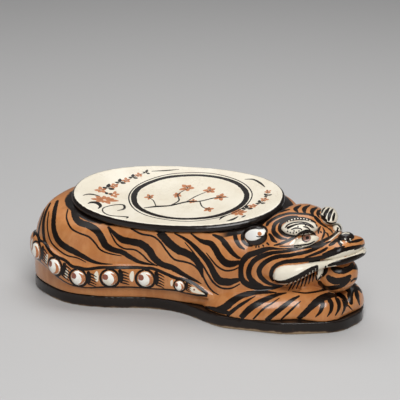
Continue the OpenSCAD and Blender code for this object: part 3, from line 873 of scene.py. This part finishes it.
# Face lines
# Rings of black brush lines run round the cheeks and brows, and stripes follow the muzzle, chin and forehead.
# Ears, eyes, lips and fangs are outlined, and the eyes have brown irises with black pupils.
face_strokes = {
    "cheek_outer": ((302, 246.5, 0.8), (288.6, 248.4, 1.2), (279.6, 248.9, 1.6), (270.7, 248.5, 3),
        (264, 249.8, 4.4), (256.4, 252.5, 5), (249.7, 254.9, 5.4), (244.8, 258.5, 5.4), (241.9, 263.5, 5),
        (240.8, 271, 4.6), (241.7, 278.4, 5), (245.6, 283.3, 5.4), (253, 286.4, 5.4), (262, 288, 5),
        (270.7, 288.2, 3.6), (279.6, 286.6, 2), (284, 285.3, 0.8)),
    "cheek_second": ((338, 229.5, 2), (335, 233.5, 3), (331.3, 236.5, 3.4), (324.7, 240, 3.4),
        (319, 243, 3.2), (311.7, 246, 2.9), (302, 247.8, 2.8), (288.6, 250.8, 2.8), (279.6, 252, 3),
        (270.7, 253.2, 3.6), (262.7, 255.8, 4.4), (256, 259.2, 4.6), (251.4, 264, 4.6), (248.9, 270.4, 4.6),
        (249, 275.7, 4.8), (251.7, 280.2, 5), (256.6, 284, 4.6), (263.6, 286.8, 3)),
    "cheek_third": ((331, 241, 1.4), (323.7, 244.3, 3), (316.5, 247.7, 3.3), (309.4, 251, 3.2),
        (302, 253, 3.2), (295, 254.3, 3.2), (288.6, 255.6, 3.6), (280.5, 256.2, 3.8), (273, 258, 4),
        (267, 261, 4.2), (262, 265, 4.4), (259.2, 270.4, 4.6), (260, 275.3, 4.6), (262.7, 278.8, 4.4),
        (267, 282.4, 3.6), (274.3, 285, 2.2), (283, 285.5, 0.8)),
    "lip_outline": ((362, 245.8, 2.6), (352.4, 247.8, 3.4), (342.8, 250.2, 3.8), (333.3, 253.6, 4.2),
        (323.7, 257, 4.2), (314, 259.2, 4.2), (304.6, 260, 4.2), (293, 261, 4), (284, 262.2, 3.6),
        (276.8, 265, 3.6), (272.4, 269.5, 3.6), (271, 274.8, 3.8), (272.4, 278.8, 3.6), (276, 281.5, 3.4),
        (280.5, 282.2, 3.2), (286.3, 281.8, 4), (293, 279.4, 4.4), (299.7, 276.2, 4.6), (306, 272.4, 4.4),
        (312, 268.7, 3.6), (318, 265.5, 1.8)),
    "muzzle_low": ((304.6, 257.5, 1), (311.7, 255.2, 2.4), (321.3, 251.4, 2.6), (328, 247.2, 1.8)),
    "muzzle_lip": ((322, 254.6, 1.2), (331, 251.2, 2.6), (338, 248.6, 2.8), (345, 246.2, 1.4)),
    "beside_nose": ((328.5, 245.8, 1.5), (333, 243, 3.6), (336.5, 239.6, 4), (338.6, 236, 2.5)),
    "under_nose": ((333, 250, 0.8), (335.7, 248.2, 2), (339.3, 249.3, 1)),
    "nose_wing": ((338.6, 234.5, 2.4), (338.8, 239, 4), (340.3, 243, 4), (341.3, 246.5, 1.6)),
    "nose_front": ((345.5, 237, 4), (348.5, 240, 5), (350.3, 243.5, 2)),
    "whisker_high": ((348.7, 232, 0.8), (353.5, 231.6, 1.4), (357.5, 232.2, 0.8)),
    "whisker_middle": ((350.5, 235.8, 1.4), (356.5, 235, 2.4), (362, 234.4, 1.2)),
    "whisker_low": ((350, 242.2, 1.6), (357, 240.8, 3), (363, 239.2, 1.6)),
    "brow_top": ((270, 216.8, 1.2), (275, 214.2, 2.4), (281.5, 211.4, 2.6), (290, 209.2, 1.4)),
    "brow_outer": ((266.6, 226.5, 2.4), (268.2, 222.6, 3.4), (272.4, 219.5, 3.2), (277.3, 217, 2.8),
        (284, 214.5, 2.5), (290, 213.3, 2.3), (298, 213.5, 2), (308.8, 214.4, 2), (316, 217.4, 2),
        (321, 222, 1.2)),
    "brow_middle": ((287.5, 239, 1), (281.5, 238.2, 2.8), (276.5, 235.2, 4), (273.7, 231.5, 4),
        (273.6, 227.4, 3.6), (275.3, 223.6, 3.4), (278.6, 221.1, 3), (284, 218.7, 2.6), (290, 217, 2.4),
        (298, 216.2, 1.2)),
    "brow_inner": ((294, 235.6, 1), (287.7, 235.4, 3.2), (283.4, 233.4, 3.8), (280.2, 230.3, 3.6),
        (279.6, 227.4, 3.2), (280.7, 224, 3), (283.2, 221.8, 3), (288, 219.8, 3.2), (296.7, 218.4, 3.2),
        (306.4, 219.2, 3), (314.8, 223, 2.6), (317.4, 227, 1.4)),
    "behind_brow": ((268.5, 233.5, 1.6), (271, 236, 3), (273.2, 240, 3.6), (277.5, 242.6, 1)),
    "upper_lid": ((273.5, 245.5, 1.2), (281.5, 243.4, 2.4), (289.8, 239.6, 2.8), (298, 235, 2.8),
        (303, 232.3, 3), (308, 231.2, 3), (313, 233, 2.6), (316, 236, 1.6)),
    "lower_lid": ((279, 246.2, 0.8), (290, 246.2, 1.3), (300, 245.3, 1.4), (309, 244, 1.4), (315, 241, 1)),
    "iris_ring": arc(4.5, 80, 300, 1.2, 0.8, (306.7, 237.4)),
    "forehead_first": ((301, 205, 1.6), (296.8, 207.4, 4.2), (295.6, 209.8, 4), (298.4, 212.6, 1)),
    "forehead_second": ((310, 205, 1.4), (305.2, 207.6, 3.8), (304, 210.8, 3.6), (305.8, 214, 1)),
    "forehead_third": ((317.4, 207.2, 1.4), (313.2, 209.4, 3.8), (311.8, 212.6, 3.6), (313.8, 216, 1)),
    "forehead_fourth": ((321, 209.6, 1.2), (318.6, 211.4, 2.8), (317.6, 214.4, 2.8), (319.6, 218, 1)),
    "bridge": ((314, 217.5, 1), (319, 221.8, 2.4), (324.6, 225.8, 2), (328, 227.5, 1)),
    "chin_by_fang": ((327.5, 266.8, 1.8), (324.9, 272.5, 3.4), (319.4, 279, 1.6)),
    "chin_high": ((330.4, 266.8, 1.6), (335.7, 269.7, 5.6), (342.8, 270.6, 6), (350, 267.8, 5.2),
        (353.4, 263, 3)),
    "chin_middle": ((326.6, 275.4, 3.2), (330.4, 279.4, 5.8), (337, 281.4, 6.4), (345, 279.5, 5.4),
        (351.5, 275.4, 2.8)),
    "chin_low": ((319, 280.7, 3), (321.8, 285.4, 5), (327.5, 288.2, 5.6), (335.7, 287.6, 4.8),
        (343.6, 285, 3.4), (351, 279, 1.6)),
    "chin_front": ((356.7, 255.8, 1.4), (356.9, 262, 3), (354.3, 268.7, 2)),
    # Black on the lower half of the lip is painted shadow: the shade of the mouth's gap between lip and chin.
    "mouth": ((327.5, 266, 2), (333, 264.2, 3.4), (338.5, 262.6, 4.4), (348.2, 259.6, 4.8),
        (357.6, 256.6, 4.2), (364, 254, 2.8)),
    "fang_back": ((317.6, 265, 1.4), (317, 270, 2.4), (316.6, 276, 2.2), (316.6, 280.5, 1)),
    "fang_front": ((326, 265.5, 1.2), (324.3, 271, 2), (320.9, 276.5, 1.9), (317, 281, 1)),
}
for order, (top, bottom) in enumerate((
        ((290.8, 281), (286.3, 286)), ((294.8, 279.3), (288, 291)), ((298.4, 277.5), (292, 289.5)),
        ((301.8, 275.6), (296, 289.5)), ((305, 274.2), (300.5, 288)), ((308.4, 272.4), (304.5, 286.5)),
        ((311.6, 270.4), (308.5, 284.5)), ((314.6, 268.6), (312.5, 282)))):
    halfway = ((top[0] + bottom[0]) / 2, (top[1] + bottom[1]) / 2)
    face_strokes["under_lip_%d" % order] = ((*top, 1.9), (*halfway, 1.8), (*bottom, 0.8))
brow_pattern = {
    "upper_line": ((284.8, 228, 1), (288, 224.8, 1.4), (293, 222.8, 1.4), (299, 222, 1.4),
        (306, 222.8, 1.4), (311.6, 225.4, 1.2), (314.2, 228.2, 0.8)),
    "swirl": ((286.5, 228.4, 2.8), (291, 226.3, 2.2), (297, 224.2, 1.6), (303, 223.8, 1.4),
        (309, 225.5, 1.4), (313, 228.2, 1)),
    "tuft_low": ((291, 229.6, 1), (296, 228, 1.6), (301.5, 228.6, 1)),
    "tuft_end": ((303, 226.6, 1), (307, 227.4, 1.6), (310.5, 230, 0.9)),
}
brow_dots = ((287.6, 231.3), (290.4, 232.6), (293.4, 233), (296.4, 232.4), (299, 231), (301.4, 229.6),
             (294, 231), (298, 226.4), (305.6, 225.2))
# White dots along the top edge of the brow, over its black outline, are painted highlights.
brow_painted_highlights = ((284.6, 224.6), (286.6, 222.6), (289, 221), (291.8, 219.8), (294.8, 219), (297.8, 218.6),
               (300.8, 218.6), (303.8, 218.8), (306.8, 219.4), (309.8, 220.6))
other_brow = {
    "left_edge": ((317.6, 209.6, 1.6), (319.6, 214, 3), (323, 218, 3.4), (327.2, 221.6, 2.4)),
    "crown": ((321.8, 213.4, 1.4), (322.8, 210, 2.4), (325, 207.4, 1.4)),
    "first": ((324.6, 218.6, 1.6), (325.2, 214, 4), (327, 210.6, 3.4), (329.4, 207.6, 1.4)),
    "second": ((328.6, 221.4, 1.8), (329.4, 215.6, 3.8), (331.2, 211.4, 2.8), (333.2, 208.6, 1.2)),
    "third": ((332.8, 221.4, 1.6), (333.6, 217, 3), (334.8, 212.6, 1.6)),
    "base": ((325.6, 221.8, 1.2), (331.3, 223.8, 2.6), (336.5, 222.4, 1.2)),
    "lid": ((334.6, 224.8, 1.4), (338, 224.8, 2.4), (340.6, 227.6, 2.2), (341, 230.6, 1)),
    "under_eye": ((334.4, 231, 1), (337.4, 231.8, 1.8), (340.4, 231.2, 1)),
    "pupil": ((336.6, 227.8, 2), (338, 228.2, 2.6), (339, 228.6, 1.6)),
    "bridge_left": ((321, 226, 1), (318.6, 230, 2.4), (318.4, 234, 1.4)),
    "bridge_right": ((322.6, 227, 1), (324.3, 231.5, 2.2), (323, 237, 2), (321.5, 239.5, 0.8)),
    "bridge_dab": ((320.4, 230.8, 1.4), (321, 232, 2.2), (321.2, 233.4, 1)),
    "snout_first": ((325, 231.8, 0.8), (327.6, 234, 2), (328.4, 237.2, 0.8)),
    "snout_second": ((327.4, 227.8, 0.8), (330.8, 230.2, 2.2), (332.8, 233.6, 0.8)),
}
ear_strokes = {
    "back_edge": ((250.5, 227.6, 1.4), (245.4, 230.8, 3), (242.6, 235.6, 3.6), (243.4, 241, 3.6),
        (247.4, 244.8, 3), (253, 246, 1.6)),
    "front_edge": ((261, 225.6, 2.2), (264.4, 227.6, 3.2), (266.2, 230.8, 3.4), (266.6, 234.8, 3.6),
        (265.6, 239, 3.2), (263, 242, 2)),
    "fold": ((256.2, 236.3, 0.8), (259.5, 236.8, 1.2), (264, 236, 1.2)),
    "tuft": ((260.3, 227.5, 3.4), (261.8, 224, 3.6), (263.6, 219.5, 2.4)),
    "first_dab": ((256.3, 245.5, 1.8), (255.8, 248.2, 1.2)),
    "second_dab": ((258.4, 245.6, 1.8), (259.4, 247.8, 1.4)),
    "third_dab": ((262.4, 244.6, 1.8), (264, 246.8, 1.6)),
    "fourth_dab": ((266.4, 242.4, 2), (269.4, 245.4, 1.6)),
}
front_strokes = {
    # The same painted shadow of the mouth's gap, laid from ahead across the front of the muzzle.
    "mouth": ((-24, 72, 2.6), (-12, 74, 3.2), (0, 74.6, 3.4), (12, 74.2, 3.2), (24, 72.6, 2.8)),
    "muzzle_edge": ((-3, 84, 2.4), (4, 84, 3), (12, 83.2, 3), (22, 81, 2.4)),
    "chin_high": ((-4, 61.6, 2.4), (0, 62, 2.8), (5, 60.8, 3.4), (10, 59, 4.2), (15, 58.4, 4.2),
        (19, 60.5, 1.6)),
    "chin_middle": ((-5, 49.6, 2.4), (0, 51, 2.6), (5, 49.8, 3.2), (9, 48, 4.4), (14, 47, 4.6)),
}
front_white = ((-18, 77.6, 3), (-8, 79, 3.4), (0, 79.6, 3.8), (12, 79, 4), (24, 76.6, 3.6))
white_strokes = {
    "lip_front": ((324, 260.4, 2.6), (331, 258.6, 4), (338.5, 256.2, 5), (348.2, 253, 5),
        (357.9, 250.2, 4.4), (363, 248.8, 3)),
    "eye_corner": ((289.5, 244.6, 1), (293, 242.6, 3), (296.5, 240.8, 5), (299, 239.8, 6)),
    "muzzle_ridge": ((320, 247.6, 0.6), (325.5, 244, 1.2), (330.6, 239.8, 1.6), (335.6, 235.4, 1.6),
        (340, 231.8, 1)),
}
# Pale marks on the black nose are painted highlights.
nose_painted_highlights = {
    "ridge": ((341.6, 234.4, 0.8), (345, 233, 1.2), (349.6, 233.4, 0.8)),
    "left": ((340.2, 240.6, 0.9), (341.6, 242.4, 1.8), (343.2, 243.8, 0.9)),
    "right": ((349.4, 238.4, 0.9), (350.5, 239.7, 1.6), (351, 241.2, 0.8)),
    "middle": ((344.6, 238.4, 0.7), (345.8, 240.4, 1.1), (346.2, 242.6, 0.7)),
}
other_ear_out = 8.25 * MM
other_ear_drop = 11 * MM


def from_ahead(point):
    """Sight straight at the face, on a point given in millimetres to its left and up."""
    ahead = Vector((math.cos(head_turn), -math.sin(head_turn), 0))
    aim = head_middle + head_left * point[0] * MM + Vector((0, 0, point[1] * MM))
    return aim + ahead * clear_of_clay, -ahead


def to_other_ear(place):
    return to_other_cheek(place) + head_left * other_ear_out - Vector((0, 0, other_ear_drop))


face_brush = 1.04 * pixel_size
line_brush = 1.13 * pixel_size
dot_step = 0.4
face_lines = Brush(film=0.12 * MM)
face_whites = Brush(film=0.07 * MM)
# White slip for painted highlights on the nose and along the brows.
face_painted_highlights = Brush(film=0.2 * MM)
for brush, strokes, change in (
        (face_lines, face_strokes, to_other_cheek), (face_lines, brow_pattern, to_other_cheek),
        (face_lines, ear_strokes, to_other_ear), (face_lines, other_brow, None),
        (face_whites, white_strokes, to_other_cheek), (face_painted_highlights, nose_painted_highlights, None)):
    unit = line_brush if strokes is face_strokes else face_brush
    for stroke in strokes.values():
        brush.draw(stroke, from_camera, unit, fine_step, view_back, change)
face_whites.draw(front_white, from_ahead)
for stroke in front_strokes.values():
    face_lines.draw(stroke, from_ahead)
face_browns = Brush(film=0.09 * MM)
face_ochres = Brush(film=0.09 * MM)
for brush, middle, radius, change in (
        (face_browns, (306.7, 237.4), 4.4, to_other_cheek), (face_lines, (307.4, 237.6), 1.9, to_other_cheek),
        (face_ochres, (259.6, 233.8), 2.2, to_other_ear),
        *((face_lines, dot, 0.8, to_other_cheek) for dot in brow_dots),
        *((face_painted_highlights, dot, 0.65, to_other_cheek) for dot in brow_painted_highlights)):
    brush.draw(spot_of(middle, radius), from_camera, pixel_size, dot_step, view_back, change)
face_lines.piece("face_lines", black_slip, "black_glaze")
face_whites.piece("face_white_strokes", white_glaze, "white_slip")
face_painted_highlights.piece("painted_nose_and_brow_highlights", white_glaze, "white_slip")
iris_slip = fired("brown_iris_under_clear_glaze", slip_paint((0.24, 0.105, 0.07), (0.34, 0.19, 0.13)))
face_browns.piece("irises", iris_slip, "ochre_glaze")
face_ochres.piece("ear_spots", ochre_slip, "ochre_glaze")

# Headrest drawing
# An oval frame of a thick and a thin black line holds a flowering branch, and sprays of ochre flowers
# with black leaves follow the rim at both ends. All of it is brushed on the white slip.
drawing_middle = (15.6, 0)
frame_half = (59.4, 43.6)
frame_shift = -2.1
once_round = 1.015
brush_start = 0.9


def from_above(point):
    """Sight straight down on a point given in millimetres about the middle of the frame."""
    along, across = drawing_middle[0] + point[0], drawing_middle[1] + point[1]
    return Vector((along * MM, across * MM, clear_of_clay)), Vector((0, 0, -1))


def oval_line(grow, width, sway, seed):
    """Closed oval stroke at a distance from the frame's middle line, heavier at both ends of the oval."""
    stroke = []
    for share in np.linspace(0, once_round, 60):
        turn = math.tau * share + brush_start
        drift = grow + sway * clouds.noise(Vector((2 * math.cos(turn), 2 * math.sin(turn), seed)))
        press = 0.85 + 0.45 * math.cos(turn) ** 2 + 0.2 * clouds.noise(Vector((turn, 0, seed)))
        stroke.append((
            frame_shift + (frame_half[0] + drift) * math.cos(turn), (frame_half[1] + drift) * math.sin(turn),
            width * press))
    return stroke


def petal(middle, turn, length, width):
    """Lens stroke that starts near a middle and points outward."""
    way = (math.cos(turn), math.sin(turn))
    return [(middle[0] + way[0] * length * share, middle[1] + way[1] * length * share, width * full)
            for share, full in ((0.12, 0.4), (0.4, 1), (0.7, 0.95), (1, 0.25))]


def blossom(middle, size, count, turn=0.0):
    petals = []
    for k in range(count):
        uneven = 0.75 + 0.5 * abs(math.sin(2.3 * k + size + middle[0]))
        petals.append(petal(middle, turn + math.tau * k / count, size * uneven, size * 0.66))
    return petals


petal_count = 5
flower_turn = 0.7


def spray(points, gap, size, lean):
    """Ochre blossoms and pairs of black leaves by turns along a trailing stem."""
    stem = flow([(*point, 0.7) for point in points], 1.0)
    flowers, leaves = [], []
    for order, step in enumerate(range(2, len(stem) - 2, gap)):
        middle = stem[step][:2]
        ahead = math.atan2(*(stem[step + 1] - stem[step - 1])[1::-1])
        small = size * (1 - 0.4 * step / len(stem))
        if order % 2:
            leaves.append(petal(middle, ahead + lean, small * 1.5, small * 0.8))
            leaves.append(petal(middle, ahead - lean, small * 1.3, small * 0.7))
            leaves.append(petal(middle, ahead + math.pi - lean, small, small * 0.6))
        else:
            flowers += blossom(middle, small, petal_count, ahead)
    leaves.append(stem)
    return flowers, leaves


spray_gap = 8
leaf_lean = 0.9
drawing_blacks = Brush(film=0.12 * MM)
drawing_ochres = Brush(film=0.09 * MM)
left_flowers, left_leaves = spray(
    ((-99.5, -3), (-93, 3.4), (-87, 10), (-83.4, 17), (-77, 23.5), (-72.5, 29.4), (-66, 37), (-60, 42)),
    spray_gap, 6.4, leaf_lean)
right_flowers, right_leaves = spray(
    ((56, -26), (61, -20.4), (66, -14), (71, -11), (75, -5), (77, 2), (78, 10), (75, 19)),
    spray_gap, 5.6, leaf_lean)
left_bloom = [petal((-88, -19.5), turn, length, 5) for turn, length in (
    (0.1, 15), (0.5, 10), (1.2, 8), (2.0, 9), (2.7, 13), (3.2, 15), (3.7, 10), (4.6, 6), (5.6, 10))]
right_bloom = [petal((56, -27), turn, length, 4) for turn, length in (
    (0.3, 9), (1.0, 7), (2.2, 7), (2.9, 10), (3.5, 9), (4.4, 6), (5.6, 8))]
side_bloom = blossom((-82, -7), 6, petal_count, 0.4)
side_leaf = [petal((-88, -8), 2.4, 6, 3.4), petal((-88, -8), 0.6, 5, 3)]
left_curls = (
    ((-113, -16.3, 0.8), (-109.5, -13, 2), (-104, -11.6, 2.6), (-95, -13.2, 0.8)),
    ((-102.8, -31.2, 0.8), (-100, -27.5, 3.8), (-94, -27, 5), (-88.5, -32.5, 3.6), (-89.3, -38.8, 0.8)),
    ((-69, -38, 0.8), (-63.2, -32.7, 2.6), (-66.2, -25, 2.4), (-75.2, -27, 1.5), (-83.8, -34.6, 1.5),
     (-82.6, -42.7, 1.5), (-73.8, -49, 1.5), (-60.3, -48.7, 1.7), (-54, -48.8, 2.4), (-55.2, -52, 1)),
    ((-56.6, 44.5, 0.7), (-42, 48, 2), (-27.8, 52.2, 0.6)),
)
right_curls = (
    ((46.3, 38.9, 0.7), (55.4, 39, 2.2), (64.7, 32.3, 2.8), (71.8, 24.2, 0.7)),
    ((40, -42.8, 0.7), (42, -36.2, 3.2), (46, -32.2, 1)),
    ((48, -45, 0.7), (53.4, -41, 3.6), (58, -34.4, 1)),
    ((61.5, -36.5, 1.6), (63.5, -34, 2.6), (65, -32, 1)),
)
branch = (
    ((-44, -27, 1), (-32, -22, 3.2), (-18, -18, 2.6), (-4, -9, 2.8), (10, -6, 2), (24, 2, 1.8), (38, 4, 0.8)),
    ((-18, -18, 1.6), (-12, -7, 1.8), (-16, 5, 1.4), (-10, 17, 0.8)),
    ((10, -6, 1.4), (16, -17, 1.4), (26, -22, 0.8)),
    ((-4, -9, 1.2), (4, 4, 1.4), (14, 15, 0.7)),
    ((-32, -22, 1.2), (-38, -11, 1.2), (-45, -5, 0.6)),
)
branch_flowers = (((-10, 19), 7.5), ((15, 16), 6.5), ((29, 4), 6.5), ((-17, 4), 5), ((23, -21), 5.5),
                  ((-44, -4), 5), ((3, -7), 4.2))
drawn_blacks = [
    oval_line(grow=0, width=5, sway=0.8, seed=1.0), oval_line(grow=5, width=1.2, sway=1.0, seed=2.0),
    *left_curls, *right_curls, *branch, *left_leaves, *right_leaves, *side_leaf]
drawn_ochres = [*left_flowers, *right_flowers, *left_bloom, *right_bloom, *side_bloom]
for order, (middle, size) in enumerate(branch_flowers):
    turn = flower_turn * order
    drawn_ochres += blossom(middle, size, petal_count, turn)
    drawn_blacks.append(spot_of(middle, 0.9))
    drawn_blacks += [
        petal(middle, 1.0 + turn + math.tau * k / petal_count, size * 0.6, 0.7) for k in range(petal_count)]
for brush, strokes in ((drawing_blacks, drawn_blacks), (drawing_ochres, drawn_ochres)):
    for stroke in strokes:
        brush.draw(stroke, from_above)
drawing_blacks.piece("headrest_black_drawing", black_slip, "black_glaze")
drawing_ochres.piece("headrest_ochre_flowers", ochre_slip, "ochre_glaze")

# Studio
# A plain pale table, two soft lamps before the pillow and one above it, and a faint light all round.
# None of it is part of the pillow.
floor_mesh = bpy.data.meshes.new("floor")
floor_half = 6.0
floor_corners = [(x * floor_half, y * floor_half, 0) for x, y in ((-1, -1), (1, -1), (1, 1), (-1, 1))]
floor_mesh.from_pydata(floor_corners, [], [(0, 1, 2, 3)])
floor = bpy.data.objects.new("floor", floor_mesh)
bpy.context.scene.collection.objects.link(floor)
floor_material = bpy.data.materials.new("pale_table")
floor_material.use_nodes = True
table_top = floor_material.node_tree.nodes["Principled BSDF"]
table_top.inputs["Base Color"].default_value = (0.52, 0.515, 0.51, 1)
table_top.inputs["Roughness"].default_value = 0.6
floor_mesh.materials.append(floor_material)


def lamp(name, place, aim, width, watts):
    data = bpy.data.lights.new(name, "AREA")
    data.shape = "RECTANGLE"
    data.size = width[0]
    data.size_y = width[1]
    data.energy = watts
    light = bpy.data.objects.new(name, data)
    light.location = place
    light.rotation_euler = (Vector(place) - Vector(aim)).to_track_quat("Z", "Y").to_euler()
    bpy.context.scene.collection.objects.link(light)


lamp("front", place=(0.55, -1.25, 1.5), aim=(0.02, 0, 0.05), width=(1.0, 1.0), watts=30)
lamp("overhead", place=(0, 0.55, 1.5), aim=(0, 0, 0.05), width=(1.6, 1.2), watts=15)
lamp("left_front", place=(-1.3, -1.6, 0.9), aim=(0, 0, 0.05), width=(1.6, 1.6), watts=4)
world = bpy.data.worlds.new("room")
world.use_nodes = True
room_light = world.node_tree.nodes["Background"]
room_light.inputs["Color"].default_value = (0.8, 0.8, 0.82, 1)
room_light.inputs["Strength"].default_value = 0.15
bpy.context.scene.world = world
bpy.context.scene.view_settings.view_transform = "Standard"
